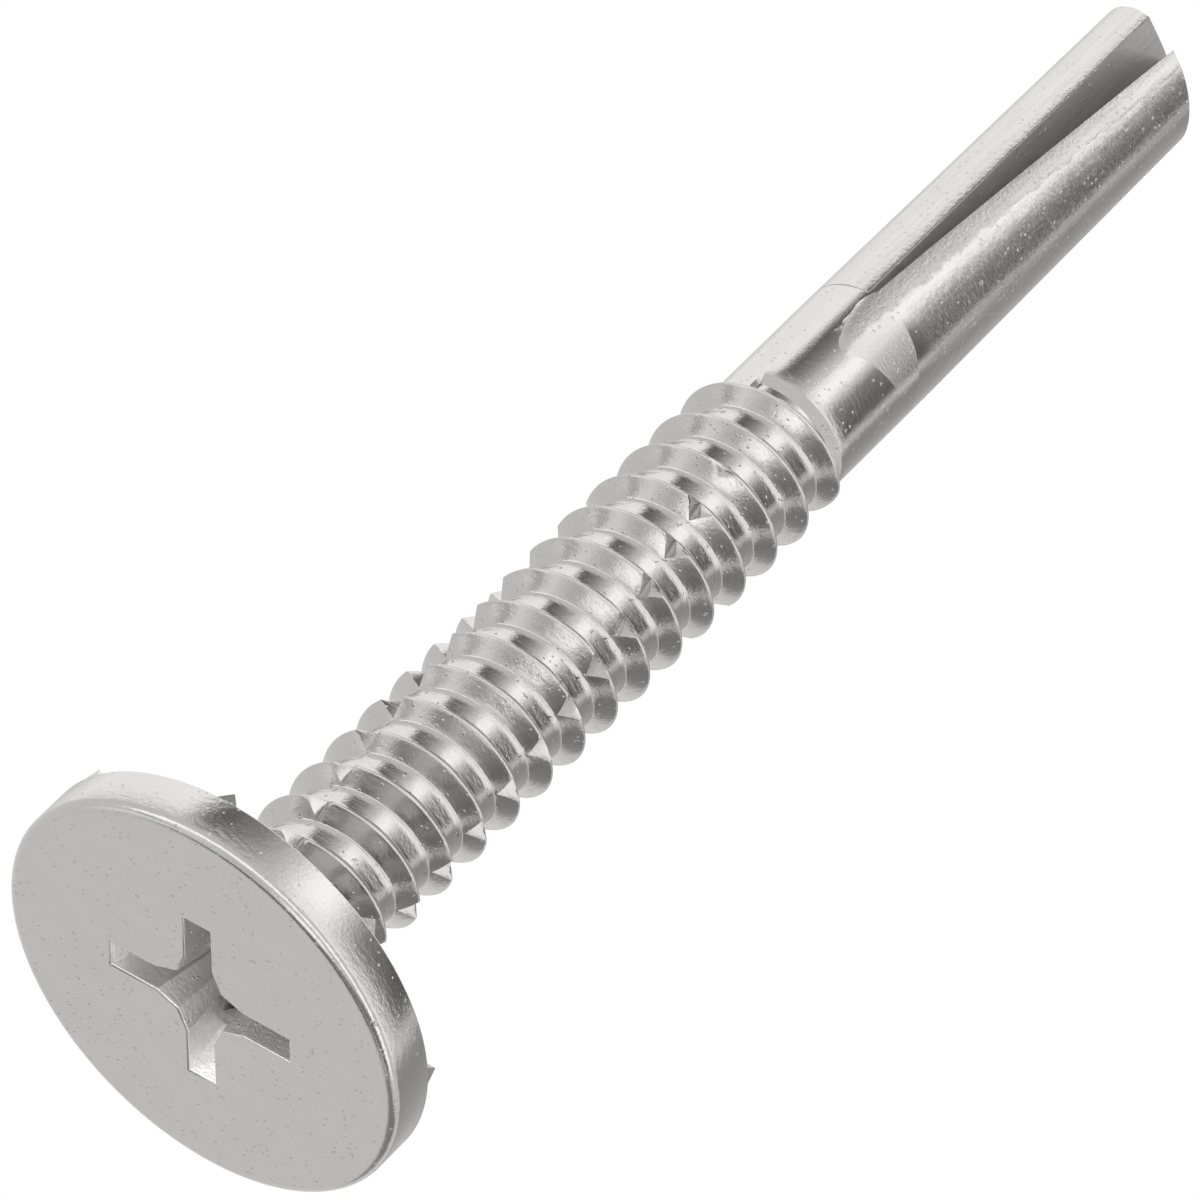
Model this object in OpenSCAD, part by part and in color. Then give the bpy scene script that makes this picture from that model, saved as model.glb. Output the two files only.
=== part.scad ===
// Self drilling screw in one solid piece, in millimetres, +Z up.
// It stands on its flat head at z = 0 and the drill point is on top.
// The arms of the cross recess lie along X and Y.

/* [Head] */
// outside diameter of the head
head_d = 15.55; // [13:0.05:18]
// thickness of the head at its rim
head_h = 1.79; // [1.3:0.01:3]
// rounding where the face meets the rim
head_round = 0.34; // [0.1:0.02:0.6]
// radius of the neck under the head
neck_r = 3.4; // [3.2:0.05:4]
// height where the neck has come down to the thread root
neck_top = 4.4; // [4:0.1:5]

/* [Ribs under the head] */
// number of ribs
rib_count = 8; // [4:1:12]
// width of a rib at its foot
rib_w = 0.8; // [0.4:0.05:1.4]
// height of a rib
rib_h = 0.37; // [0.2:0.01:0.6]

/* [Cross recess] */
// width over two opposite wings at the face
recess_span = 7.2; // [6:0.1:8]
// width of one wing
wing_w = 1.06; // [0.8:0.02:1.4]
// distance from the axis where a wing starts
wing_start = 1.75; // [1.5:0.05:2.2]
// radius of the corners between two wings
core_r = 1.25; // [1:0.05:1.5]
// depth of the wings
recess_depth = 3; // [2:0.1:3.2]
// depth of the small point below the wings
point_depth = 0.45; // [0.2:0.05:0.6]
// slope of the wing ends, from the axis
recess_slope = 26.5; // [20:0.5:28]

/* [Thread] */
// diameter over the thread
thread_d = 5.98; // [5.8:0.02:6.4]
// diameter at the root of the thread
root_d = 4.74; // [4.5:0.02:4.9]
// rise of the thread in one turn
pitch = 1.8; // [1.6:0.05:2]
// width of the flat on the crest
crest_w = 0.06; // [0.04:0.01:0.2]
// slope of a thread flank, from square to the axis
flank_slope = 37; // [25:1:38]
// height of the crest over the X axis in its first turn
thread_z = 3.664; // [3:0.002:4]
// turns of the thread
thread_turns = 15.78; // [10:0.02:15.8]
// degrees over which the thread dies away at each end
fade_turn = 105; // [60:5:180]

/* [Notches in the thread] */
// radius at the bottom of a notch
notch_r = 2.45; // [2.4:0.01:2.8]
// degrees from the middle of a notch to its side
notch_half = 10; // [6:0.5:14]
// direction of the first row of notches at z = 0
notch_row_1 = 19.5; // [0:0.5:60]
// direction of the second row
notch_row_2 = 136.5; // [100:0.5:170]
// direction of the third row
notch_row_3 = 253.5; // [220:0.5:290]
// degrees that a row turns back over each millimetre
notch_lean = 4.3; // [0:0.1:8]
// height where the rows of notches end
notch_top = 27.3; // [15:0.1:30]

/* [Shank] */
// diameter of the plain shank
shank_d = 5.14; // [4.9:0.02:5.6]
// height where the plain shank starts
shank_start = 31.85; // [31.7:0.05:34]
// length of the cone between the thread root and the shank
runout_len = 0.4; // [0.2:0.05:0.8]

/* [Drill end] */
// height where the drill end starts
drill_start = 34.1; // [34:0.1:35]
// height where the raised step of a land ends
step_end = 36.75; // [36.5:0.05:38]
// height of the raised step
step_h = 0.22; // [0:0.02:0.3]
// gap between the start of the drill end and the lowest place of the step
step_gap = 0.15; // [0.05:0.05:0.4]
// direction of that lowest place, from the cutting edge
step_low_angle = 23; // [15:1:35]
// how much higher the step starts at the heel
step_heel = 1.32; // [0.6:0.02:1.5]
// how much higher it starts on its far side
step_far = 1.45; // [0.6:0.05:1.45]
// how much sooner it ends on its far side
step_fall = 0.95; // [0:0.05:0.95]
// height of the outer corner of the drill point
corner_z = 54; // [50:0.1:60]
// diameter of the drill at its point
drill_d = 4.9; // [4.6:0.02:5.2]
// how far a land falls away beside its flute at the point
land_fall = 0.3; // [0:0.02:0.4]

/* [Flutes] */
// distance from the axis to the bottom of a flute at the corner
flute_x = 0.2; // [0.1:0.02:0.5]
// the same distance, square to the cutting wall
flute_y = 0.3; // [0.2:0.02:0.5]
// how fast the bottom of a flute leaves the axis
flute_rise = 0.1215; // [0.1:0.0005:0.13]
// how fast it nears the cutting wall
flute_drift = 0.0153; // [0.01:0.0001:0.02]
// direction of the cutting edge at the corner
edge_angle = -3.2; // [-8:0.1:4]
// degrees the cutting edge turns over each millimetre
edge_turn = 0.165; // [0:0.005:0.3]
// direction where the flute starts, close beside the cutting edge
start_angle = 0.4; // [0.2:0.1:3]
// direction of the heel edge near the start of the flute, once it is open
heel_angle = 6; // [4:0.1:8]
// length over which the flute opens to its heel edge
open_len = 0.8; // [0.4:0.1:1.5]
// degrees the heel edge turns in the first millimetre
heel_turn = 0.75; // [0.4:0.05:1.2]
// how fast that turn grows
heel_gain = 0.0345; // [0.02:0.0005:0.05]

/* [Point] */
// height of the apex
tip_z = 55; // [54.5:0.05:56]
// included angle of the point
point_angle = 131; // [110:1:140]
// lean of the point to one side
point_lean = 16.5; // [0:0.5:20]
// direction of that lean
point_side = 105; // [0:5:355]

/* [Hidden] */
e = 0.05;
head_r = head_d / 2;
thread_r = thread_d / 2;
root_r = root_d / 2;
shank_r = shank_d / 2;
drill_r = drill_d / 2;
steel = [0.72, 0.72, 0.70];

// Thread, as a chain of cross sections along the turn.
bury_r = root_r - 0.06;
thread_from = -90;
thread_to = thread_from + 360 * thread_turns;
notch_rows = [notch_row_1, notch_row_2, notch_row_3];
row_step = 1 + notch_lean * pitch / 360;
// angle along the thread of the notch with number j
function notch_at(j) =
    (notch_rows[j % 3] - notch_lean * thread_z + 360 * floor(j / 3)) / row_step;
// height of the crest at an angle along the thread
function crest_z(a) = thread_z + pitch * a / 360;
notches = [for (j = [0 : 60]) if (crest_z(notch_at(j)) < notch_top) notch_at(j)];
// crest radius without notches
function full_r(a) =
    let (
        in = min(1, (a - thread_from) / fade_turn),
        out = min(1, (thread_to - a) / fade_turn)
    )
    bury_r + (thread_r - bury_r) * min(1, max(0.03, min(in, out) * 1.15));
marks = concat(
    [[thread_from, full_r(thread_from)]],
    [for (i = [0 : len(notches) - 1]) [notches[i], i < len(notches) - 1 ? notch_r : thread_r - 0.25]],
    [[thread_to, full_r(thread_to)]]
);
station_gap = 11.5;
function steps_to(gap) = max(1, ceil(gap / station_gap));
stations = concat(
    [for (i = [0 : len(marks) - 2])
        let (
            from = marks[i][0] + notch_half,
            gap = marks[i + 1][0] - marks[i][0] - 2 * notch_half,
            n = steps_to(gap)
        )
        for (k = [-1 : n])
            k < 0 ? marks[i] : [from + gap * k / n, full_r(from + gap * k / n)]
    ],
    [marks[len(marks) - 1]]
);
// half the width of the thread at a radius
function half_w(r) = crest_w / 2 + (thread_r - r) * tan(flank_slope);
thread_points = [
    for (s = stations)
        let (a = s[0], r = s[1], z = crest_z(a))
        for (p = [
            [bury_r, -half_w(bury_r)],
            [r, -half_w(r)],
            [r, half_w(r)],
            [bury_r, half_w(bury_r)]
        ])
            [p[0] * cos(a), p[0] * sin(a), z + p[1]]
];
thread_last = 4 * (len(stations) - 1);
thread_faces = concat(
    [
        for (i = [0 : 4 : thread_last - 4])
            for (k = [0 : 3])
                for (f = [
                    [i + k, i + (k + 1) % 4, i + 4 + (k + 1) % 4],
                    [i + k, i + 4 + (k + 1) % 4, i + 4 + k]
                ])
                    f
    ],
    [
        [3, 2, 1],
        [3, 1, 0],
        [thread_last, thread_last + 1, thread_last + 2],
        [thread_last, thread_last + 2, thread_last + 3]
    ]
);

// Drill end, as a chain of cross sections up the axis.
land_steps = 22;
body_rings = 9;
slip = 0.003;
far_angle = 115;
flat_angle = 28;
// height where the step of a land starts, at a direction
function step_foot(a) =
    let (b = min(a, far_angle))
    drill_start + step_gap + (b < step_low_angle ?
        step_heel * pow((step_low_angle - b) / 20, 3) :
        step_far * pow((b - step_low_angle) / (far_angle - step_low_angle), 0.65));
// height where it has its full height
function step_head(a) =
    let (b = min(a, far_angle))
    step_end - step_fall * pow(max(0, b - flat_angle) / (far_angle - flat_angle), 1.45);
flute_start = step_foot(start_angle);
heel_from = step_end - 1.35;
// a cross section is level, or goes a share of the way up the step
level_rings = [
    [drill_start - 0.2, 0],
    [drill_start, 0],
    for (share = [0, 0.33, 0.67, 1]) [undef, share],
    for (k = [1 : body_rings]) [step_end + (corner_z - step_end) * k / body_rings, 1],
    [tip_z + 2, 1]
];
function ring_z(level, a) =
    is_undef(level[0]) ? step_foot(a) + (step_head(a) - step_foot(a)) * level[1] : level[0];
// radius of the drill end where a land is full, a little under the shank where they meet
function full_drill(z) =
    z < drill_start ? shank_r * 0.985 :
    shank_r - slip - (shank_r - drill_r) * max(0, (z - step_end) / (corner_z - step_end));
// how far a land stands out beside its flute
function land_out(z) = step_h - (step_h + land_fall) * (z - step_end) / (corner_z - step_end);
function edge_at(z) = edge_angle + edge_turn * (corner_z - z);
// direction of the heel edge, and of the same edge with the closed start of the flute
function heel_line(z) =
    let (up = max(0, z - heel_from))
    heel_angle + heel_turn * up + heel_gain * up * up;
function heel_at(z) =
    let (shut = max(0, 1 - max(0, z - flute_start) / open_len))
    heel_line(z) * (1 - shut) + start_angle * shut;
// bottom of the flute
function flute_low(z) =
    z <= flute_start + slip ?
        let (mid = (edge_at(z) + heel_at(z)) / 2)
        0.998 * full_drill(z) * [cos(mid), sin(mid)] :
        [flute_x + flute_rise * (corner_z - z), flute_y - flute_drift * (corner_z - z)];
// radius of a land at a direction and height
function land_r(a, z, share) =
    full_drill(z) + share * land_out(max(z, step_head(a))) * (a < 120 ? 1 - sin(a - 30) : 0);
half_count = land_steps + 2;
drill_points = [
    for (level = level_rings)
        let (heel_z = ring_z(level, start_angle))
        for (side = [1, -1])
            for (k = [-1 : land_steps])
                let (
                    a = heel_at(heel_z) + (edge_at(heel_z) + 180 - heel_at(heel_z)) * max(0, k) / land_steps,
                    z = k <= 0 ? heel_z : ring_z(level, a),
                    r = land_r(a, z, level[1]),
                    p = k < 0 ? flute_low(z) : [r * cos(a), r * sin(a)]
                )
                [side * p[0], side * p[1], z]
];
ring = 2 * half_count;
drill_top = ring * (len(level_rings) - 1);
drill_faces = concat(
    [
        for (i = [0 : len(level_rings) - 2])
            for (k = [0 : ring - 1])
                let (
                    a = i * ring + k,
                    b = i * ring + (k + 1) % ring
                )
                for (f = [[a, a + ring, b + ring], [a, b + ring, b]])
                    f
    ],
    [
        for (h = [0, half_count])
            for (k = [1 : half_count - 1])
                [h, h + k, (h + k + 1) % ring]
    ],
    [
        for (h = [0, half_count])
            for (k = [1 : half_count - 1])
                [drill_top + h, drill_top + (h + k + 1) % ring, drill_top + h + k]
    ]
);

module head() {
    rotate_extrude($fn = 120)
        polygon(concat(
            [[0, 0]],
            [for (t = [0 : 15 : 90])
                [head_r - head_round + head_round * sin(t), head_round - head_round * cos(t)]],
            [[head_r, head_h], [0, head_h]]
        ));
}

module rib() {
    rotate([90, 0, 90])
        linear_extrude(head_r - 0.02)
            polygon([
                [-rib_w / 2 * 1.2, -0.2 * rib_h],
                [rib_w / 2 * 1.2, -0.2 * rib_h],
                [0, rib_h]
            ]);
}

module neck() {
    translate([0, 0, head_h - e])
        cylinder(h = neck_top - head_h + e, r1 = neck_r, r2 = root_r, $fn = 96);
}

// Cross outline at the face of the head.
module recess_outline() {
    polygon([
        for (q = [0 : 3])
            for (p = [
                [wing_start, -wing_w / 2],
                [recess_span / 2, -wing_w / 2],
                [recess_span / 2, wing_w / 2],
                [wing_start, wing_w / 2],
                [core_r * cos(45), core_r * sin(45)]
            ])
                [p[0] * cos(90 * q) - p[1] * sin(90 * q), p[0] * sin(90 * q) + p[1] * cos(90 * q)]
    ]);
}

module recess() {
    shrink = 1 - recess_depth * tan(recess_slope) / (recess_span / 2);
    grow = 1 + 0.1 * (1 - shrink) / recess_depth;
    translate([0, 0, -0.1])
        linear_extrude(recess_depth + 0.1, scale = shrink / grow)
            scale(grow)
                recess_outline();
    translate([0, 0, recess_depth - e])
        linear_extrude(point_depth + e, scale = 0.3)
            scale(shrink * 0.98)
                recess_outline();
}

module thread() {
    polyhedron(points = thread_points, faces = thread_faces, convexity = 10);
}

// The last groove ends short of the shank on one side.
module groove_end() {
    rotate([0, 0, -135])
        rotate_extrude(angle = 121, $fn = 120)
            translate([root_r - 0.6, shank_start - 1.6])
                square([shank_r - root_r + 0.6, 1.6]);
}

module shank() {
    translate([0, 0, neck_top - e])
        cylinder(h = shank_start - runout_len - neck_top + e, r = root_r, $fn = 96);
    translate([0, 0, shank_start - runout_len])
        cylinder(h = runout_len, r1 = root_r, r2 = shank_r, $fn = 96);
    translate([0, 0, shank_start])
        cylinder(h = drill_start - shank_start, r = shank_r, $fn = 96);
}

module drill_end() {
    difference() {
        polyhedron(points = drill_points, faces = drill_faces, convexity = 6);
        point_cut();
    }
}

// Everything above the cone of the point.
module point_cut() {
    cut_r = 1.2 * shank_d;
    cut_from = corner_z - 4;
    difference() {
        translate([-cut_r, -cut_r, cut_from])
            cube([2 * cut_r, 2 * cut_r, tip_z + 5 - cut_from]);
        translate([0, 0, tip_z])
            rotate([0, 0, point_side])
                rotate([0, point_lean, 0])
                    translate([0, 0, -2 * cut_r])
                        cylinder(h = 2 * cut_r, r1 = 2 * cut_r * tan(point_angle / 2), r2 = 0, $fn = 96);
    }
}

module screw() {
    color(steel)
        difference() {
            union() {
                head();
                for (i = [0 : rib_count - 1])
                    rotate([0, 0, i * 360 / rib_count])
                        translate([0, 0, head_h])
                            rib();
                neck();
                shank();
                groove_end();
                thread();
                drill_end();
            }
            recess();
        }
}

screw();
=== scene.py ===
import math
import bpy
import bmesh
import numpy as np
from mathutils import Matrix, Vector


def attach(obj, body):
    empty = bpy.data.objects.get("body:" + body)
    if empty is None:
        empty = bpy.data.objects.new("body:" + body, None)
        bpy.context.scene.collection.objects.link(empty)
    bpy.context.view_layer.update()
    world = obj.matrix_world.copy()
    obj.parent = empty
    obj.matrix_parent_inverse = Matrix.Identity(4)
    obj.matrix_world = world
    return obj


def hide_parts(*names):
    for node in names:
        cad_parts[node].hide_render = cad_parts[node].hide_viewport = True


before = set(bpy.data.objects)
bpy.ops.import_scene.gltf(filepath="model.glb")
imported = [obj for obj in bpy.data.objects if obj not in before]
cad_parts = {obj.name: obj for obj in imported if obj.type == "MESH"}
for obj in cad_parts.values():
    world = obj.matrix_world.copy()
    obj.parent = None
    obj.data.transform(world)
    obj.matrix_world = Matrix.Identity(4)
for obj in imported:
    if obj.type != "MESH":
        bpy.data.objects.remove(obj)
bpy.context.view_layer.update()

mm = 0.001
print("frame loaded")

# camera, at the photo's angle: it looks up at the face of the head from below
view = {
    "place": (0.24329, 0.14021, -0.17123),
    "turn": 30.0,      # azimuth of the side that is seen, in degrees
    "drop": 34.52,     # how far below the level it stands
    "roll": 45.63,
    "fov": 6.649,
}


def makeCamera():
    data = bpy.data.cameras.new("camera")
    data.sensor_fit = "HORIZONTAL"
    data.angle = math.radians(view["fov"])
    data.clip_start = 0.01
    data.clip_end = 20
    camera = bpy.data.objects.new("camera", data)
    bpy.context.scene.collection.objects.link(camera)
    aim = Matrix.Rotation(math.radians(view["turn"] + 90), 4, "Z") @ Matrix.Rotation(
        math.radians(90 + view["drop"]), 4, "X")
    camera.matrix_world = Matrix.Translation(view["place"]) @ aim @ Matrix.Rotation(
        math.radians(view["roll"]), 4, "Z")
    bpy.context.scene.camera = camera


makeCamera()
print("camera placed")


# small helpers for working as by hand
def startFresh():
    if bpy.context.mode != "OBJECT":
        bpy.ops.object.mode_set(mode="OBJECT")
    bpy.ops.object.select_all(action="DESELECT")


def useOnly(obj):
    startFresh()
    obj.select_set(True)
    bpy.context.view_layer.objects.active = obj


def editPick(obj, kind, test):
    # goes to edit mode and selects the vertices, edges or faces that pass the test
    useOnly(obj)
    bpy.ops.object.mode_set(mode="EDIT")
    bpy.ops.mesh.select_mode(type={"verts": "VERT", "edges": "EDGE", "faces": "FACE"}[kind])
    bpy.ops.mesh.select_all(action="DESELECT")
    grid = bmesh.from_edit_mesh(obj.data)
    for item in getattr(grid, kind):
        item.select_set(test(item))
    bmesh.update_edit_mesh(obj.data)


def editDone():
    bpy.ops.object.mode_set(mode="OBJECT")


def applyAll(obj):
    useOnly(obj)
    for modifier in list(obj.modifiers):
        bpy.ops.object.modifier_apply(modifier=modifier.name)


def readPoints(obj):
    points = np.empty(len(obj.data.vertices) * 3)
    obj.data.vertices.foreach_get("co", points)
    return points.reshape(-1, 3) / mm


def writePoints(obj, points):
    obj.data.vertices.foreach_set("co", (points * mm).ravel())
    obj.data.update()


def cutWith(obj, cutter, how):
    modifier = obj.modifiers.new("cut", "BOOLEAN")
    modifier.operation = how
    modifier.solver = "EXACT"
    modifier.object = cutter
    applyAll(obj)
    bpy.data.objects.remove(cutter, do_unlink=True)


# head: a disc with a rounded front edge, ribs behind and a cross recess
headMake = {
    "radius": 7.769,
    "rim": 1.79,
    "frontRound": 0.34,
    "backRound": 0.05,
    "sides": 240,
    "ribs": 8,
    "ribStart": 2.2,
    "ribGap": 0.015,        # from a rib's outer end to the rim
    "ribFoot": 0.904,       # width at the foot, which is sunk in the disc
    "ribSunk": 0.1,
    "ribHeight": 0.37,
    "ribTaper": 0.04,
    "wingSpan": 7.2,
    "wingWidth": 1.06,
    "wingStart": 1.75,
    "coreRadius": 1.25,
    "recessDepth": 3.0,
    "recessPoint": 0.45,
    "recessSlope": 26.5,
    "recessLead": 0.2,      # how far the cutter starts outside the face
    "recessTip": 0.3,       # size of its pointed end against the bottom
    "recessEdge": 0.06,     # width of the rounded edge round the opening
    "neckSunk": 0.3,
    "neckRadius": 3.4,
    "neckTop": 4.4,
    "neckEnd": 2.36,
}


def makeHead():
    h = headMake
    startFresh()
    bpy.ops.mesh.primitive_cylinder_add(vertices=h["sides"], radius=h["radius"] * mm, depth=h["rim"] * mm,
                                        end_fill_type="NGON", location=(0, 0, h["rim"] * mm / 2))
    head = bpy.context.active_object
    head.name = "screwHead"
    bpy.ops.object.transform_apply(location=True)
    editPick(head, "edges", lambda e: all(v.co.z < 0.01 * mm for v in e.verts))
    bpy.ops.mesh.bevel(offset=h["frontRound"] * mm, segments=7, profile=0.5, affect="EDGES")
    editPick(head, "faces", lambda f: len(f.verts) > 4 and f.calc_center_median().z < 0.01 * mm)
    bpy.ops.mesh.inset(thickness=0.02 * mm)
    editPick(head, "edges", lambda e: all(v.co.z > (h["rim"] - 0.01) * mm for v in e.verts))
    bpy.ops.mesh.bevel(offset=h["backRound"] * mm, segments=3, profile=0.5, affect="EDGES")
    editDone()
    return head


def makeNeck():
    # a cone behind the disc, which holds the bottom of the recess
    h = headMake
    low = h["rim"] - h["neckSunk"]
    slope = (h["neckRadius"] - h["neckEnd"]) / (h["neckTop"] - h["rim"])
    foot = h["neckRadius"] + h["neckSunk"] * slope
    startFresh()
    bpy.ops.mesh.primitive_cone_add(vertices=144, radius1=foot * mm, radius2=h["neckEnd"] * mm,
                                    depth=(h["neckTop"] - low) * mm,
                                    location=(0, 0, (h["neckTop"] + low) / 2 * mm))
    bpy.ops.object.transform_apply(location=True)
    return bpy.context.active_object


def softenRecess(head):
    # the punch leaves a narrow rounded edge round the opening
    h = headMake
    reach = h["wingSpan"] / 2 * 1.1

    def atOpening(vertex):
        return abs(vertex.co.z) < 0.001 * mm and vertex.co.xy.length / mm < reach

    editPick(head, "edges", lambda e: all(atOpening(v) for v in e.verts) and len(e.link_faces) == 2
             and e.calc_face_angle(0) > 0.5)
    bpy.ops.mesh.bevel(offset=h["recessEdge"] * mm, segments=3, profile=0.5, affect="EDGES")
    editDone()


def makeRib():
    h = headMake
    inner, outer = h["ribStart"], h["radius"] - h["ribGap"]
    level = h["rim"] + (h["ribHeight"] - h["ribSunk"]) / 2
    startFresh()
    bpy.ops.mesh.primitive_cube_add(size=1 * mm, location=((inner + outer) / 2 * mm, 0, level * mm),
                                    scale=(outer - inner, h["ribFoot"], h["ribHeight"] + h["ribSunk"]))
    rib = bpy.context.active_object
    bpy.ops.object.transform_apply(location=True, scale=True)
    editPick(rib, "verts", lambda v: v.co.z > h["rim"] * mm)
    bpy.ops.transform.resize(value=(1, h["ribTaper"], 1))
    editDone()
    return rib


def makeRecessCutter():
    h = headMake
    outline = []
    for quarter in range(4):
        turn = Matrix.Rotation(math.radians(90 * quarter), 2)
        half = h["wingWidth"] / 2
        corner = h["coreRadius"] * math.sqrt(0.5)
        for point in ((h["wingStart"], -half), (h["wingSpan"] / 2, -half), (h["wingSpan"] / 2, half),
                      (h["wingStart"], half), (corner, corner)):
            outline.append(turn @ Vector(point))
    shrink = 1 - h["recessDepth"] * math.tan(math.radians(h["recessSlope"])) / (h["wingSpan"] / 2)
    lead = h["recessLead"]
    grow = 1 + lead * (1 - shrink) / h["recessDepth"]
    bottom = (0, 0, h["recessDepth"] * mm)
    startFresh()
    bpy.ops.mesh.primitive_circle_add(vertices=len(outline), radius=1 * mm, fill_type="NGON")
    cutter = bpy.context.active_object
    for vertex, point in zip(cutter.data.vertices, outline):
        vertex.co = Vector((point.x * grow, point.y * grow, -lead)) * mm
    editPick(cutter, "faces", lambda f: True)
    bpy.ops.mesh.extrude_region_move(TRANSFORM_OT_translate={"value": (0, 0, (h["recessDepth"] + lead) * mm)})
    bpy.ops.transform.resize(value=(shrink / grow, shrink / grow, 1), center_override=bottom)
    bpy.ops.mesh.extrude_region_move(TRANSFORM_OT_translate={"value": (0, 0, h["recessPoint"] * mm)})
    bpy.ops.transform.resize(value=(h["recessTip"], h["recessTip"], 1), center_override=bottom)
    bpy.ops.mesh.select_all(action="SELECT")
    bpy.ops.mesh.normals_make_consistent(inside=False)
    editDone()
    return cutter


def inRecess(face):
    h = headMake
    middle = face.calc_center_median() / mm
    deepest = h["recessDepth"] + h["recessPoint"] + 0.01
    inside = middle.xy.length < h["wingSpan"] / 2 and 0.02 < middle.z < deepest
    return inside and face.normal.z < 0.1


def isFront(face):
    # the flat front of the head
    return face.normal.z < -0.999 and face.calc_center_median().z < 0.01 * mm


# thread: one pitch of its outline, wound up the axis by a Screw modifier
threadMake = {
    "pitch": 1.8,
    "crestRadius": 2.99,
    "rootRadius": 2.37,
    "crestHalf": 0.03,
    "flankSlope": 37.0,
    "crestHeight": 3.664,   # height of the crest over the X axis in its first turn
    "turns": 17,
    "columns": 144,
    "startTurn": -90.0,
    "endTurn": 5590.0,
    "fade": 105.0,
    "notchRadius": 2.45,
    "notchHalf": 10.0,
    "notchRows": (19.5, 136.5, 253.5),
    "notchLean": 4.3,
    "notchTop": 27.3,
    "lastNotch": 0.25,      # depth of the last notch, which is a shallow one
}


def crestHeightAt(angle):
    t = threadMake
    return t["crestHeight"] + t["pitch"] * angle / 360


def halfWidth(radius):
    t = threadMake
    return t["crestHalf"] + (t["crestRadius"] - radius) * math.tan(math.radians(t["flankSlope"]))


def threadRows():
    # (kind, value): root rows by height, flank rows by share of the flank, crest rows by share of the crest
    root = [("root", value) for value in (0.9, 0.76, 0.66, 0.6)]
    flank = [("flank", value) for value in (0.0, 0.05, 0.14, 0.35, 0.6, 0.82, 0.95)]
    crest = [("crest", value) for value in (1.0, 0.6, 0.0)]
    down = root + flank + crest
    up = [row for row in reversed(down) if row != ("crest", 0.0)]
    return [(-1, kind, value) for kind, value in down] + [(1, kind, value) for kind, value in up]


def rowPlace(side, kind, value, top):
    # radius and height of a row when the thread stands up to the radius top
    t = threadMake
    root = t["rootRadius"]
    if kind == "root":
        return root, side * value
    if kind == "flank":
        radius = root + value * (top - root)
        height = halfWidth(radius)
        if value < 0.2:
            # a small fillet at the root
            climb, inward = {0.0: (0.006, 0.018), 0.05: (0.016, -0.002), 0.14: (0.038, -0.026)}[value]
            radius = root + climb * min(1, (top - root) / 0.3)
            height = halfWidth(root) + inward
        return radius, side * height
    drop = {1.0: 0.02, 0.6: 0.006, 0.0: 0.0}[value]
    return top - drop, side * (halfWidth(top) + 0.012) * value


def makeThread():
    t = threadMake
    rows = threadRows()
    shape = [rowPlace(side, kind, value, t["crestRadius"]) for side, kind, value in rows]
    startFresh()
    bpy.ops.mesh.primitive_plane_add(size=0.1 * mm)
    thread = bpy.context.active_object
    thread.name = "screwThread"
    bpy.ops.object.mode_set(mode="EDIT")
    bpy.ops.mesh.select_all(action="SELECT")
    bpy.ops.mesh.merge(type="CENTER")
    bpy.ops.transform.translate(value=(shape[0][0] * mm, 0, shape[0][1] * mm))
    for before, after in zip(shape, shape[1:]):
        step = ((after[0] - before[0]) * mm, 0, (after[1] - before[1]) * mm)
        bpy.ops.mesh.extrude_vertices_move(TRANSFORM_OT_translate={"value": step})
    editDone()
    wind = thread.modifiers.new("wind", "SCREW")
    wind.axis = "Z"
    wind.angle = math.radians(360)
    wind.screw_offset = t["pitch"] * mm
    wind.iterations = t["turns"]
    wind.steps = t["columns"]
    wind.render_steps = t["columns"]
    wind.use_merge_vertices = False
    applyAll(thread)
    placeThread(thread, rows)
    editPick(thread, "verts", lambda v: True)
    bpy.ops.mesh.remove_doubles(threshold=0.0005 * mm)
    bpy.ops.mesh.normals_make_consistent(inside=False)
    editDone()
    return thread


def notchAngles():
    t = threadMake
    step = 1 + t["notchLean"] * t["pitch"] / 360
    found = []
    for turn in range(-1, 20):
        for row in t["notchRows"]:
            angle = (row - t["notchLean"] * t["crestHeight"] + 360 * turn) / step
            if t["startTurn"] + 30 < angle and crestHeightAt(angle) < t["notchTop"]:
                found.append(angle)
    return sorted(found)


def slideColumns(angles, notches):
    # moves the nearest columns onto the sides and the middle of each notch
    have, want = [angles[0]], [angles[0]]
    for notch in notches:
        for side in (-2.2, -1, 0, 1, 2.2):
            target = notch + side * threadMake["notchHalf"]
            nearest = angles[np.argmin(abs(angles - target))]
            if nearest > have[-1]:
                have.append(nearest)
                want.append(nearest if abs(side) > 2 else target)
    have.append(angles[-1])
    want.append(angles[-1])
    return np.interp(angles, have, want)


def crestAt(angle, notches):
    # radius of the crest, and how far off the nearest notch is, counted in halves of a notch
    t = threadMake
    root, crest = t["rootRadius"], t["crestRadius"]
    fade = 1.15 * min((angle - t["startTurn"]) / t["fade"], (t["endTurn"] - angle) / t["fade"])
    top = root + (crest - root) * min(1, max(0.02, fade))
    nearest = min(notches, key=lambda notch: abs(notch - angle))
    off = abs(nearest - angle) / t["notchHalf"]
    low = t["notchRadius"] if nearest != notches[-1] else crest - t["lastNotch"]
    if off < 1:
        top = min(top, low + (crest - low) * off)
    return top, off


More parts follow.
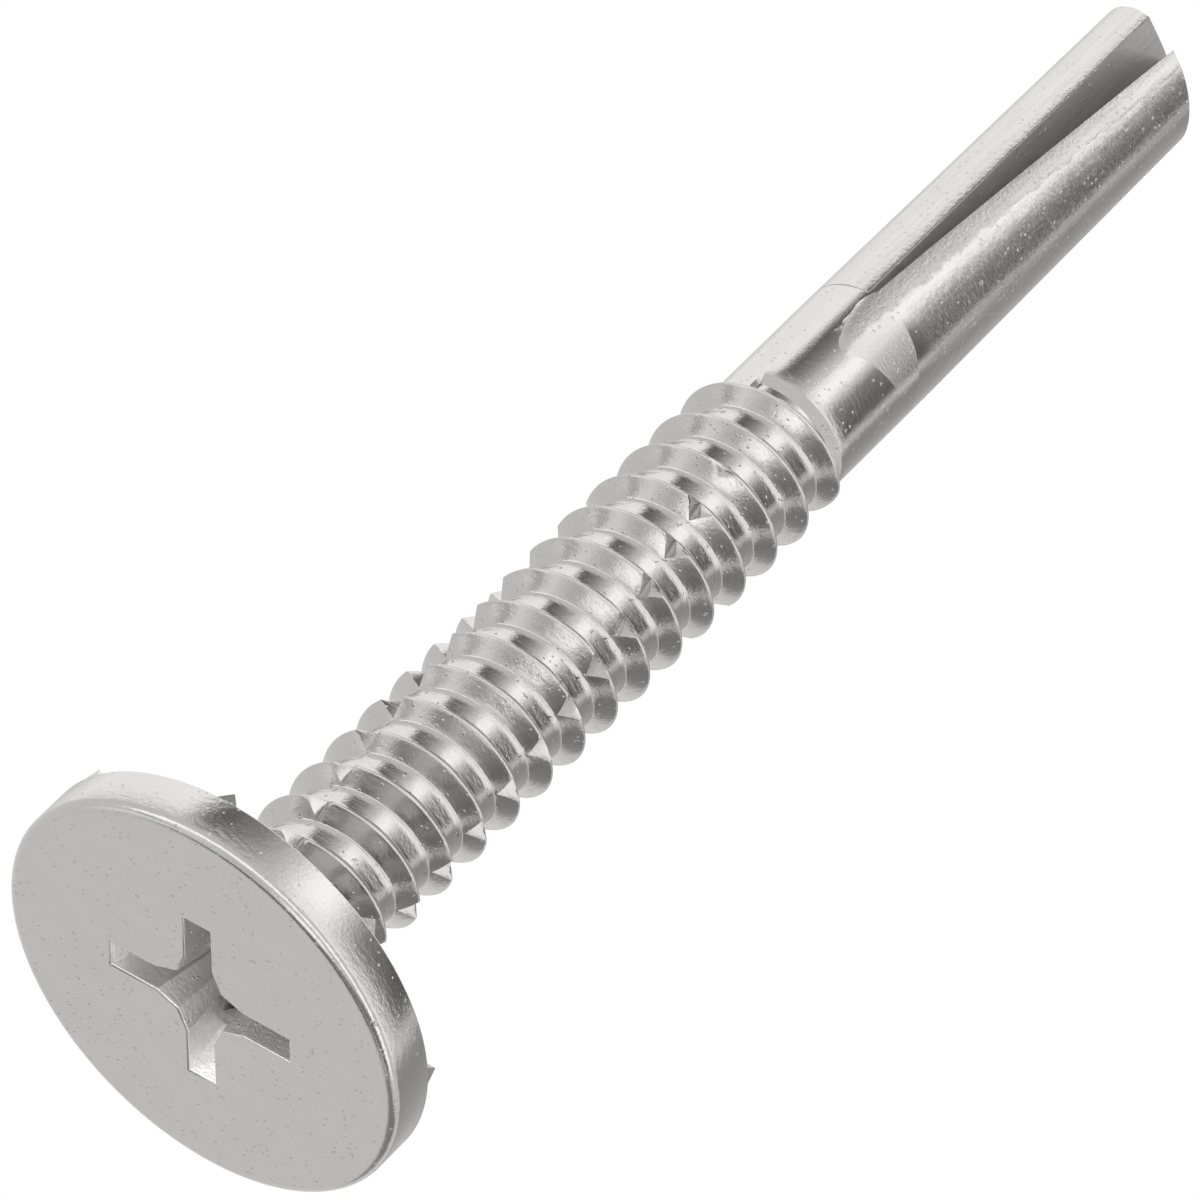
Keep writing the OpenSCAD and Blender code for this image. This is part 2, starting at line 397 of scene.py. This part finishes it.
def placeThread(thread, rows):
    # the modifier leaves its columns in order, so each vertex is known by its number
    t = threadMake
    count = len(rows)
    columns = len(thread.data.vertices) // count
    notches = notchAngles()
    angles = t["startTurn"] - 270 + np.arange(columns) * 360.0 / t["columns"]
    result = np.empty((columns, count, 3))
    for c, angle in enumerate(slideColumns(angles, notches)):
        top, off = crestAt(angle, notches)
        for r, (side, kind, value) in enumerate(rows):
            radius, height = rowPlace(side, kind, value, top)
            lean = -t["notchLean"] * height * max(0, min(1, 2.2 - off)) if kind != "root" else 0
            turned = math.radians(angle + lean)
            level = crestHeightAt(angle + lean) + height
            result[c, r] = (radius * math.cos(turned), radius * math.sin(turned), level)
    writePoints(thread, result.reshape(-1, 3))


# shank and drill end: a circle extruded up the axis ring by ring, each ring shaped to the lands and flutes
drillMake = {
    "shankRadius": 2.57,
    "shankStart": 31.85,
    "runout": 0.4,
    "rootRadius": 2.37,
    "grooveEnd": (-135.0, -14.0),   # the last groove is filled between these azimuths
    "grooveEndHeight": 1.6,
    "drillStart": 34.1,
    "stepEnd": 36.75,
    "stepHeight": 0.22,
    "stepLow": 34.25,
    "stepLowAngle": 23.0,
    "stepHeel": 1.32,
    "stepHeelSpan": 20.0,
    "stepFar": 1.45,
    "stepFall": 0.95,
    "flatAngle": 28.0,
    "farAngle": 115.0,
    "landFall": 0.3,
    "landFull": 30.0,       # the relief is landOut's at this angle, and none a quarter turn on
    "landRise": 0.45,       # power of the rise beside the heel
    "landEven": 8.0,        # the rise turns even from here on
    "landEvenSpan": 26.0,
    "tipRadius": 2.45,
    "cornerHeight": 54.0,
    "fluteX": 0.2,
    "fluteY": 0.3,
    "fluteRise": 0.1215,
    "fluteDrift": 0.0153,
    "edgeAngle": -3.2,
    "edgeTurn": 0.165,
    "startAngle": 0.4,
    "openLength": 0.8,
    "heelAngle": 6.0,
    "heelFrom": 35.4,
    "heelTurn": 0.75,
    "heelGain": 0.0345,
    "edgeFrom": 36.9,       # above this the cutting edges are softened
    "edgeLand": 0.035,
    "landSteps": 88,
    "wallSteps": 7,
    "apex": 55.0,
    "pointAngle": 131.0,
    "pointLean": 16.5,
    "pointSide": 105.0,
}


def stepFoot(angle):
    # a land's raised step starts lowest a little way from the heel and climbs on both sides
    d = drillMake
    angle = min(angle, d["farAngle"])
    if angle < d["stepLowAngle"]:
        return d["stepLow"] + d["stepHeel"] * ((d["stepLowAngle"] - angle) / d["stepHeelSpan"]) ** 3
    share = (angle - d["stepLowAngle"]) / (d["farAngle"] - d["stepLowAngle"])
    return d["stepLow"] + d["stepFar"] * share ** 0.65


def stepHead(angle):
    d = drillMake
    angle = min(angle, d["farAngle"])
    share = max(0, angle - d["flatAngle"]) / (d["farAngle"] - d["flatAngle"])
    return d["stepEnd"] - d["stepFall"] * share ** 1.45


def fullDrill(z):
    d = drillMake
    share = max(0, (z - d["stepEnd"]) / (d["cornerHeight"] - d["stepEnd"]))
    return d["shankRadius"] - (d["shankRadius"] - d["tipRadius"]) * share


def landOut(z):
    d = drillMake
    share = (z - d["stepEnd"]) / (d["cornerHeight"] - d["stepEnd"])
    return d["stepHeight"] - (d["stepHeight"] + d["landFall"]) * share


def edgeAt(z):
    d = drillMake
    return d["edgeAngle"] + d["edgeTurn"] * (d["cornerHeight"] - z)


def heelAt(z):
    # the heel edge leaves the cutting edge soon after the flute's start
    d = drillMake
    up = max(0, z - d["heelFrom"])
    shut = max(0, 1 - max(0, z - stepFoot(d["startAngle"])) / d["openLength"])
    wide = d["heelAngle"] + d["heelTurn"] * up + d["heelGain"] * up * up
    return wide * (1 - shut) + d["startAngle"] * shut


def landPoint(angle, z, share):
    # radius of a land; angle is counted from the cutting edge of the flute beside its heel
    d = drillMake
    radius = fullDrill(z)
    off = angle - d["landFull"]
    if off < 90:
        # beside the heel the step rises at once, farther round it rises evenly
        even = min(1, max(0, (angle - d["landEven"]) / d["landEvenSpan"]))
        share = share ** (d["landRise"] + (1 - d["landRise"]) * even)
        radius += share * landOut(max(z, stepHead(angle))) * (1 - math.sin(math.radians(off)))
    return radius


def fluteLow(z, share):
    d = drillMake
    if share <= 0:
        middle = math.radians((edgeAt(z) + heelAt(z)) / 2)
        return fullDrill(z) * math.cos(middle), fullDrill(z) * math.sin(middle)
    return (d["fluteX"] + d["fluteRise"] * (d["cornerHeight"] - z),
            d["fluteY"] - d["fluteDrift"] * (d["cornerHeight"] - z))


def ringHeight(level, angle):
    # a level is a plain height, or a share of the way up the step
    if level["z"] is not None:
        return level["z"]
    return stepFoot(angle) + (stepHead(angle) - stepFoot(angle)) * level["share"]


def ringPoints(level):
    # one ring, from the flute bottom over the heel, the land and the next cutting edge
    d = drillMake
    start = d["startAngle"]
    share = level["share"]
    zHeel = ringHeight(level, start)
    low = fluteLow(zHeel, share)
    points = []
    for k in range(d["landSteps"] + 1):
        angle = heelAt(zHeel) + (edgeAt(zHeel) + 180 - heelAt(zHeel)) * k / d["landSteps"]
        z = ringHeight(level, angle if k else start)
        radius = landPoint(angle, z, share)
        turned = math.radians(angle)
        points.append((radius * math.cos(turned), radius * math.sin(turned), z))
    heel, edge = points[0], points[-1]
    far = (-low[0], -low[1], zHeel)
    low = (low[0], low[1], zHeel)

    def wall(start, end, first):
        steps = d["wallSteps"]
        return [tuple(a + (b - a) * k / steps for a, b in zip(start, end)) for k in range(first, steps)]

    half = wall(low, heel, 0) + points + wall(edge, far, 1)
    ring = half + [(-x, -y, h) for x, y, h in half]
    return [shankPoint(*point) for point in ring] if zHeel < d["shankStart"] else ring


def shankPoint(x, y, z):
    # under the shank: the run-out cone, and on one side the filled end of the groove
    d = drillMake
    around = math.degrees(math.atan2(y, x))
    share = (z - (d["shankStart"] - d["runout"])) / d["runout"]
    radius = d["rootRadius"] - 0.02 + (d["shankRadius"] - d["rootRadius"] + 0.02) * min(1, max(0, share))
    if d["grooveEnd"][0] < around < d["grooveEnd"][1] and z > d["shankStart"] - d["grooveEndHeight"]:
        radius = d["shankRadius"]
    now = math.hypot(x, y)
    return x * radius / now, y * radius / now, z


def drillLevels():
    d = drillMake
    end = d["shankStart"] - d["grooveEndHeight"]
    cone = d["shankStart"] - d["runout"]
    heights = [end - 0.1, end, end + 0.01, cone - 0.6, cone - 0.01, cone + 0.01, d["shankStart"] - 0.01,
               d["shankStart"] + 0.01, 32.4, 33.2, d["drillStart"]]
    levels = [{"z": z, "share": 0} for z in heights]
    levels += [{"z": None, "share": share} for share in (0, 0.04, 0.1, 0.2, 0.35, 0.5, 0.65, 0.8, 0.9, 1)]
    first, last, count = 37.0, d["apex"] + 2, 44
    levels += [{"z": first + (last - first) * k / count, "share": 1} for k in range(count + 1)]
    return levels


def makeDrill():
    rings = [ringPoints(level) for level in drillLevels()]
    count = len(rings[0])
    startFresh()
    bpy.ops.mesh.primitive_circle_add(vertices=count, radius=2 * mm, fill_type="NGON")
    drill = bpy.context.active_object
    drill.name = "screwDrill"
    editPick(drill, "faces", lambda f: True)
    for ring in rings[1:]:
        bpy.ops.mesh.extrude_region_move(TRANSFORM_OT_translate={"value": (0, 0, 1 * mm)})
    editDone()
    # the rings are one above another, so each vertex is found by its height and its place round the ring
    points = readPoints(drill)
    ringIndex = np.rint(points[:, 2]).astype(int)
    around = np.degrees(np.arctan2(points[:, 1], points[:, 0])) % 360
    first = around[ringIndex == 0].min()
    slot = np.rint((around - first) * count / 360).astype(int) % count
    writePoints(drill, np.array(rings)[ringIndex, slot])
    editPick(drill, "verts", lambda v: True)
    bpy.ops.mesh.normals_make_consistent(inside=False)
    editDone()
    return drill


def onStep(vertex, edge, first, last):
    # is the vertex on the foot or head of a land's step
    angle = math.degrees(math.atan2(vertex.co.y, vertex.co.x)) % 180
    return first < angle < last and abs(vertex.co.z / mm - edge(angle)) < 0.02


def sharpenStep(drill):
    editPick(drill, "edges", lambda e: all(onStep(v, stepFoot, 2, 100) for v in e.verts)
             or all(onStep(v, stepHead, 30, 100) for v in e.verts))
    bpy.ops.mesh.mark_sharp()
    editDone()


def softenEdges(drill):
    # a fine land along each cutting edge, which catches the light
    def onEdge(v):
        z = v.co.z / mm
        angle = math.degrees(math.atan2(v.co.y, v.co.x))
        off = (angle - edgeAt(z) + 90) % 180 - 90
        return drillMake["edgeFrom"] < z and abs(off) < 0.3 and v.co.xy.length / mm > fullDrill(z) - 0.02

    editPick(drill, "edges", lambda e: all(onEdge(v) for v in e.verts) and e.calc_length() < 0.7 * mm
             and abs(e.verts[0].co.z - e.verts[1].co.z) > 0.05 * mm)
    bpy.ops.mesh.bevel(offset=drillMake["edgeLand"] * mm, segments=2, profile=0.5, affect="EDGES")
    editDone()


def inFlute(face):
    middle = face.calc_center_median() / mm
    radial = Vector((middle.x, middle.y, 0)).normalized()
    steep = abs(face.normal.dot(radial)) < 0.8 and face.normal.z < 0.3
    return steep and middle.z > drillMake["heelFrom"]


def makePointCone():
    d = drillMake
    reach = 12.0
    wide = reach * math.tan(math.radians(d["pointAngle"] / 2))
    startFresh()
    bpy.ops.mesh.primitive_cone_add(vertices=180, radius1=wide * mm, radius2=0, depth=reach * mm,
                                    location=(0, 0, -reach / 2 * mm))
    cone = bpy.context.active_object
    bpy.ops.object.transform_apply(location=True)
    editPick(cone, "faces", lambda f: len(f.verts) > 4)
    bpy.ops.mesh.extrude_region_move(TRANSFORM_OT_translate={"value": (0, 0, -30 * mm)})
    editDone()
    side = Matrix.Rotation(math.radians(d["pointSide"]), 4, "Z")
    lean = Matrix.Rotation(math.radians(d["pointLean"]), 4, "Y")
    cone.matrix_world = Matrix.Translation((0, 0, d["apex"] * mm)) @ side @ lean
    bpy.context.view_layer.update()
    return cone


# shader maths: Sock wraps a socket, and an expression adds the nodes
class Sock:
    tree = None

    def __init__(self, socket):
        self.socket = socket

    @staticmethod
    def feed(made, values):
        # sets or links the inputs of a node
        for name, value in values.items():
            if isinstance(value, Sock):
                Sock.tree.links.new(value.socket, made.inputs[name])
            else:
                made.inputs[name].default_value = value

    @staticmethod
    def node(kind, settings=None, values=None, out=0):
        made = Sock.tree.nodes.new(kind)
        for name, value in (settings or {}).items():
            setattr(made, name, value)
        Sock.feed(made, values or {})
        return Sock(made.outputs[out])

    def beside(self, out):
        # another output of the same node
        return Sock(self.socket.node.outputs[out])

    @staticmethod
    def math(kind, *values):
        return Sock.node("ShaderNodeMath", {"operation": kind}, dict(enumerate(values)))

    @staticmethod
    def mixValue(share, first, second):
        return Sock.node("ShaderNodeMix", {"data_type": "FLOAT"}, {0: share, 2: first, 3: second})

    def __add__(self, other):
        return Sock.math("ADD", self, other)

    __radd__ = __add__

    def __sub__(self, other):
        return Sock.math("SUBTRACT", self, other)

    def __rsub__(self, other):
        return Sock.math("SUBTRACT", other, self)

    def __mul__(self, other):
        return Sock.math("MULTIPLY", self, other)

    __rmul__ = __mul__

    def __truediv__(self, other):
        return Sock.math("DIVIDE", self, other)


def newMaterial(name):
    material = bpy.data.materials.new(name)
    material.use_nodes = True
    Sock.tree = material.node_tree
    return material


def noise(place, stretch, detail=3.0, rough=0.55):
    at = Sock.node("ShaderNodeVectorMath", {"operation": "MULTIPLY"}, {0: place, 1: stretch})
    return Sock.node("ShaderNodeTexNoise", None,
                     {"Vector": at, "Scale": 1.0, "Detail": detail, "Roughness": rough})


def clamp(value):
    return Sock.math("MINIMUM", 1.0, Sock.math("MAXIMUM", 0.0, value))


# bright zinc plated steel: marks across the axis, streaks along it, fine grain, small blisters and specks
steelLook = {
    "outside": {"colour": (0.476, 0.468, 0.456), "rough": 0.19, "metal": 1.0, "worn": 1.0},
    "face": {"colour": (0.485, 0.467, 0.449), "rough": 0.20, "metal": 1.0, "worn": 1.0},
    # painted light: a much lighter, less metallic copy of the steel, so that the deep recess walls stay
    # bright
    "recess": {"colour": (0.88, 0.87, 0.855), "rough": 0.32, "metal": 0.7, "worn": 2.0},
    # painted light: a lighter copy of the steel on the flute walls, which go dark otherwise; rougher as well
    "flute": {"colour": (0.52, 0.51, 0.495), "rough": 0.28, "metal": 1.0, "worn": 0.8},
    "mottle": 0.08,         # how much the tone wanders
    "grainHeight": 0.0035,  # heights are in millimetres
    "markHeight": 0.009,
    "drillMarks": 1.2,      # how much stronger the marks are on the drill end
    "blisterHeight": 0.028,
    "speckHeight": 0.02,
    "streakHeight": 0.006,
    "streakTone": 0.35,
    "drillRough": 0.05,     # the drill end is a little duller than the thread
    "rubHeight": 0.03,
    "blisterScale": 1.3,    # cells to a millimetre
    "speckScale": 3.6,
    "speckSize": 0.055,
    "speckBar": 1.32,       # higher leaves fewer specks
    "drawnFrom": 36.8,      # the drill end's marks and streaks start at this height
    "calmPlace": 35.6,      # the marks are faint round the foot of the step
    "calmHalf": 0.9,
    "rubStart": 34.6,
    "rubEnd": 56.0,
    "rubWidth": 17.0,
    "rubWander": 9.0,
    "ringHeight": 0.02,
    "ringPlace": 37.0,      # fine ring round the body where the forging dies met: a groove, with painted shade along it
}
steelAndLitCopyNames = ["outside", "recess", "flute", "face"]    # in the order of the material slots


def blisters(place):
    # a few cells of a Voronoi pattern hold a dot or a ring
    scale = steelLook["blisterScale"]
    cell = Sock.node("ShaderNodeTexVoronoi", None, {"Vector": place, "Scale": scale}, "Distance")
    chance = Sock.node("ShaderNodeSeparateColor", None, {0: cell.beside("Color")})
    pick, size, kind = (chance.beside(channel) for channel in ("Red", "Green", "Blue"))
    radius = size * 0.05 + 0.035
    far = cell / scale
    dot = clamp((radius - far) * 30)
    ring = clamp(1 - Sock.math("ABSOLUTE", far - radius) * 45)
    shape = Sock.mixValue(Sock.math("GREATER_THAN", kind, 0.7), dot, ring)
    return shape * Sock.math("GREATER_THAN", pick, 0.35)


def specks(place):
    # fine dots in loose clusters
    look = steelLook
    cell = Sock.node("ShaderNodeTexVoronoi", None, {"Vector": place, "Scale": look["speckScale"]}, "Distance")
    pick = Sock.node("ShaderNodeSeparateColor", None, {0: cell.beside("Color")})
    dot = clamp((look["speckSize"] - cell / look["speckScale"]) * 40)
    crowd = pick + noise(place, (0.55, 0.55, 0.45), 1.0) * 1.6
    return dot * Sock.math("GREATER_THAN", crowd, look["speckBar"])


def rubbedStrip(place, angle, z):
    # the strip on each land beside its heel edge
    look, d = steelLook, drillMake
    up = Sock.math("MAXIMUM", 0.0, z - d["heelFrom"])
    past = angle - (d["heelAngle"] + up * d["heelTurn"] + up * up * d["heelGain"])
    past = past + (noise(place, (1.3, 1.3, 1.6), 2.0) - 0.5) * look["rubWander"]
    strip = clamp(past * 0.4 + 1.6) * clamp((look["rubWidth"] - past) * 0.4)
    return strip * clamp((z - look["rubStart"]) * 2) * clamp((look["rubEnd"] - z) * 0.06 + 0.1)


def makeSteel(name):
    look, own = steelLook, steelLook[name]
    material = newMaterial(name + "Steel")
    place = Sock.node("ShaderNodeTexCoord", out="Object")
    place = Sock.node("ShaderNodeVectorMath", {"operation": "SCALE"}, {0: place, "Scale": 1 / mm})
    parts = Sock.node("ShaderNodeSeparateXYZ", None, {0: place})
    x, y, z = (parts.beside(axis) for axis in "XYZ")
    angle = Sock.math("FLOORED_MODULO", Sock.math("ARCTAN2", y, x) * (180 / math.pi), 180.0)
    cloud = noise(place, (0.5, 0.5, 0.4))
    marks = noise(place, (3.0, 3.0, 6.5), 3.0, 0.6)
    grain = noise(place, (9.0, 9.0, 11.0), 2.0)
    # drawing streaks along the drill end
    drawn = clamp((z - look["drawnFrom"]) * 2)
    streak = (noise(place, (4.5, 4.5, 0.3), 3.0, 0.6) - 0.5) * drawn
    rub = rubbedStrip(place, angle, z)
    # the forging ring, on the side of each land away from its heel: a groove in the bump, and painted shade
    # that darkens the tone along it
    ringGrooveAndShade = clamp(1 - Sock.math("ABSOLUTE", z - look["ringPlace"]) * 34) * clamp((angle - 108) * 0.1)
    calm = clamp(Sock.math("ABSOLUTE", z - look["calmPlace"]) - look["calmHalf"])
    calm = calm * (clamp(z - look["drawnFrom"]) * look["drillMarks"] + 1)
    height = marks * calm * look["markHeight"] + grain * look["grainHeight"]
    height = height + blisters(place) * look["blisterHeight"] + specks(place) * look["speckHeight"]
    height = height + streak * look["streakHeight"]
    height = height + rub * noise(place, (8.0, 8.0, 7.0), 3.0, 0.7) * look["rubHeight"]
    height = height * own["worn"] - ringGrooveAndShade * look["ringHeight"]
    bump = Sock.node("ShaderNodeBump", None, {"Strength": 1.0, "Distance": mm, "Height": height})
    # the ring halves the tone: painted shade along its groove
    tone = cloud * look["mottle"] + (1 - look["mottle"] / 2) + (grain - 0.5) * 0.12 - rub * 0.1 - ringGrooveAndShade * 0.5
    tone = tone + streak * look["streakTone"]
    base = Sock.node("ShaderNodeVectorMath", {"operation": "SCALE"}, {0: own["colour"], "Scale": tone})
    spread = cloud * 0.10 + marks * 0.06 + rub * 0.06 + drawn * look["drillRough"] + (own["rough"] - 0.08)
    Sock.feed(material.node_tree.nodes["Principled BSDF"],
              {"Base Color": base, "Metallic": own["metal"], "Roughness": spread, "Normal": bump})
    return material


def paintFaces(piece, test, finishOrLitCopy):
    # gives the face its own finish and the walls of the recess and the flutes lighter copies of the steel as
    # painted light, and keeps them flat
    editPick(piece, "faces", test)
    piece.active_material_index = steelAndLitCopyNames.index(finishOrLitCopy)
    bpy.ops.object.material_slot_assign()
    bpy.ops.mesh.faces_shade_flat()
    editDone()


# stage: a pale floor that is clear from beneath, and a pale studio round it
floorMake = {
    "size": 4,
    "gap": 0.02,            # it lies a hair under the head, so that the two faces aren't in one plane
    "tone": 0.85,
    "rough": 0.8,
}


def makeStage():
    startFresh()
    bpy.ops.mesh.primitive_plane_add(size=floorMake["size"], location=(0, 0, -floorMake["gap"] * mm))
    floor = bpy.context.active_object
    floor.name = "floor"
    material = newMaterial("paleFloor")
    nodes = material.node_tree.nodes
    pale = nodes["Principled BSDF"]
    tone = floorMake["tone"]
    Sock.feed(pale, {"Base Color": (tone, tone, tone, 1), "Roughness": floorMake["rough"]})
    path = Sock.node("ShaderNodeLightPath")
    through = Sock.math("MAXIMUM", path.beside("Is Shadow Ray"), path.beside("Is Glossy Ray"))
    through = Sock.math("MAXIMUM", Sock.node("ShaderNodeNewGeometry", out="Backfacing"), through)
    clear = Sock.node("ShaderNodeBsdfTransparent")
    mix = Sock.node("ShaderNodeMixShader", None, {0: through, 1: Sock(pale.outputs[0]), 2: clear})
    Sock.feed(nodes["Material Output"], {"Surface": mix})
    floor.data.materials.append(material)


screwMiddle = Vector((0, 0, 0.028))

# studio: a white tent, with soft boxes and dark cards that only the metal sees. turn is counted from the
# camera's side, each card is as bright as its two numbers at its two ends, and soft is how many degrees
# its two upright edges take to fade into the tent
studio = {
    "topBox":     {"turn": (-180, 180), "rise": (56, 88), "bright": (1.7, 1.7), "soft": (1, 1)},
    "sideBank":   {"turn": (-150, -70), "rise": (25, 56), "bright": (1.3, 1.75), "soft": (10, 3)},
    "sideUnder":  {"turn": (-140, -62), "rise": (-62, -38), "bright": (1.3, 1.3), "soft": (10, 10)},
    "sideBar":    {"turn": (-105, -91), "rise": (-60, -36), "bright": (0.5, 0.5), "soft": (5, 5),
                   "away": 0.48},   # in front of sideUnder
    "leftUnder":  {"turn": (-61, -24), "rise": (-84, -62), "bright": (0.75, 0.75), "soft": (6, 4)},
    "leftCard":   {"turn": (-69, -17), "rise": (25, 54), "bright": (0.0, 0.7), "soft": (6, 18)},
    "frontBox":   {"turn": (-16, 23), "rise": (25, 56), "bright": (1.8, 1.95), "soft": (12, 12)},
    "rightCard":  {"turn": (23, 84), "rise": (29, 54), "bright": (0.35, 0.05), "soft": (12, 5)},
    "backCard":   {"turn": (92, 206), "rise": (14, 54), "bright": (0.4, 0.8), "soft": (4, 8)},
    "stepBox":    {"turn": (-14, 91), "rise": (6, 25), "bright": (1.65, 1.65), "soft": (10, 10)},
    "lowRing":    {"turn": (-100, 100), "rise": (-38, -19), "bright": (2.1, 2.1), "soft": (10, 10)},
    "underBox":   {"turn": (-22, 54), "rise": (-88, -62), "bright": (1.5, 2.6), "soft": (12, 12)},
    "rightUnder": {"turn": (58, 112), "rise": (-80, -38), "bright": (0.5, 0.1), "soft": (6, 3)},
    "farUnder":   {"turn": (114, 160), "rise": (-52, -8), "bright": (0.25, 0.5), "soft": (3, 4)},
    "footCard":   {"turn": (120, 218), "rise": (-82, -54), "bright": (0.25, 0.25), "soft": (4, 4)},
}


def studioPoint(turn, rise, away):
    # a place round the middle of the screw, by its azimuth and elevation in degrees
    t, r = math.radians(turn), math.radians(rise)
    return Vector((math.cos(t) * math.cos(r), math.sin(t) * math.cos(r), math.sin(r))) * away + screwMiddle


def makeCard(name, make):
    # a grid bent round the screw, half a metre away where nothing else is said
    away = make.get("away", 0.5)
    startFresh()
    bpy.ops.mesh.primitive_grid_add(x_subdivisions=24, y_subdivisions=12, size=2)
    card = bpy.context.active_object
    card.name = name
    first, last = make["turn"]
    low, high = make["rise"]
    for vertex in card.data.vertices:
        across, up = (vertex.co.x + 1) / 2, (vertex.co.y + 1) / 2
        turn = view["turn"] + first + (last - first) * across
        vertex.co = studioPoint(turn, low + (high - low) * up, away)
    card.visible_camera = card.visible_diffuse = card.visible_shadow = False
    material = newMaterial(name)
    nodes = material.node_tree.nodes
    nodes.remove(nodes["Principled BSDF"])
    parts = Sock.node("ShaderNodeSeparateXYZ", None, {0: Sock.node("ShaderNodeTexCoord", out="UV")})
    across, up = parts.beside("X"), parts.beside("Y")
    width = last - first
    bright = across * (make["bright"][1] - make["bright"][0]) + make["bright"][0]
    sides = Sock.math("MINIMUM", across * (width / make["soft"][0]), (1 - across) * (width / make["soft"][1]))
    ends = Sock.math("MINIMUM", up, 1 - up) * ((high - low) / 2)
    full = Sock.math("MINIMUM", Sock.math("MINIMUM", sides, ends), 1.0)
    glow = Sock.node("ShaderNodeEmission", None, {"Strength": Sock.mixValue(full, 1.0, bright)})
    Sock.feed(nodes["Material Output"], {"Surface": glow})
    card.data.materials.append(material)


def makeWorld():
    world = bpy.data.worlds.new("tent")
    bpy.context.scene.world = world
    world.use_nodes = True
    Sock.tree = world.node_tree
    path = Sock.node("ShaderNodeLightPath")
    seen = path.beside("Is Camera Ray") + path.beside("Is Glossy Ray") + path.beside("Is Transmission Ray")
    # white to the camera and in reflections, half as bright where it lights the floor
    strength = Sock.math("MINIMUM", seen, 1.0) * 0.5 + 0.5
    Sock.feed(world.node_tree.nodes["Background"], {"Color": (1, 1, 1, 1), "Strength": strength})


lamps = {
    "keyLamp": {"turn": 38, "rise": 40, "away": 0.6, "size": (0.25, 0.4), "power": 0.6},
}


def makeLamp(name, make):
    # its turn is a plain azimuth, not counted from the camera's side
    data = bpy.data.lights.new(name, "AREA")
    data.shape = "RECTANGLE"
    data.size, data.size_y = make["size"]
    data.energy = make["power"]
    lamp = bpy.data.objects.new(name, data)
    bpy.context.scene.collection.objects.link(lamp)
    lamp.location = studioPoint(make["turn"], make["rise"], make["away"])
    lamp.rotation_euler = (screwMiddle - lamp.location).to_track_quat("-Z", "Y").to_euler()


head = makeHead()
cutWith(head, makeNeck(), "UNION")
cutWith(head, makeRecessCutter(), "DIFFERENCE")
softenRecess(head)
ribs = []
for number in range(headMake["ribs"]):
    rib = makeRib()
    rib.rotation_euler = (0, 0, math.radians(360 / headMake["ribs"] * number))
    useOnly(rib)
    bpy.ops.object.transform_apply(rotation=True)
    ribs.append(rib)
useOnly(head)
for rib in ribs:
    rib.select_set(True)
bpy.ops.object.join()
print("head made")

thread = makeThread()
print("thread made")

drill = makeDrill()
cutWith(drill, makePointCone(), "INTERSECT")
softenEdges(drill)
print("drill end made")

steelsAndLitCopies = [makeSteel(name) for name in steelAndLitCopyNames]
for piece in (head, thread, drill):
    useOnly(piece)
    bpy.ops.object.shade_smooth_by_angle(angle=math.radians(32))
    piece.data.materials.clear()
    for finishOrLitCopy in steelsAndLitCopies:
        piece.data.materials.append(finishOrLitCopy)
    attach(piece, "root")
    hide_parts("screw")

sharpenStep(drill)
# painted light: the recess walls get the lighter copy of the steel
paintFaces(head, inRecess, "recess")
paintFaces(head, isFront, "face")
# painted light: the flute walls get the lighter copy of the steel
paintFaces(drill, inFlute, "flute")

makeStage()
makeWorld()
for name, make in studio.items():
    makeCard(name, make)
for name, make in lamps.items():
    makeLamp(name, make)
scene = bpy.context.scene
scene.view_settings.view_transform = "Standard"
print("stage and light set")
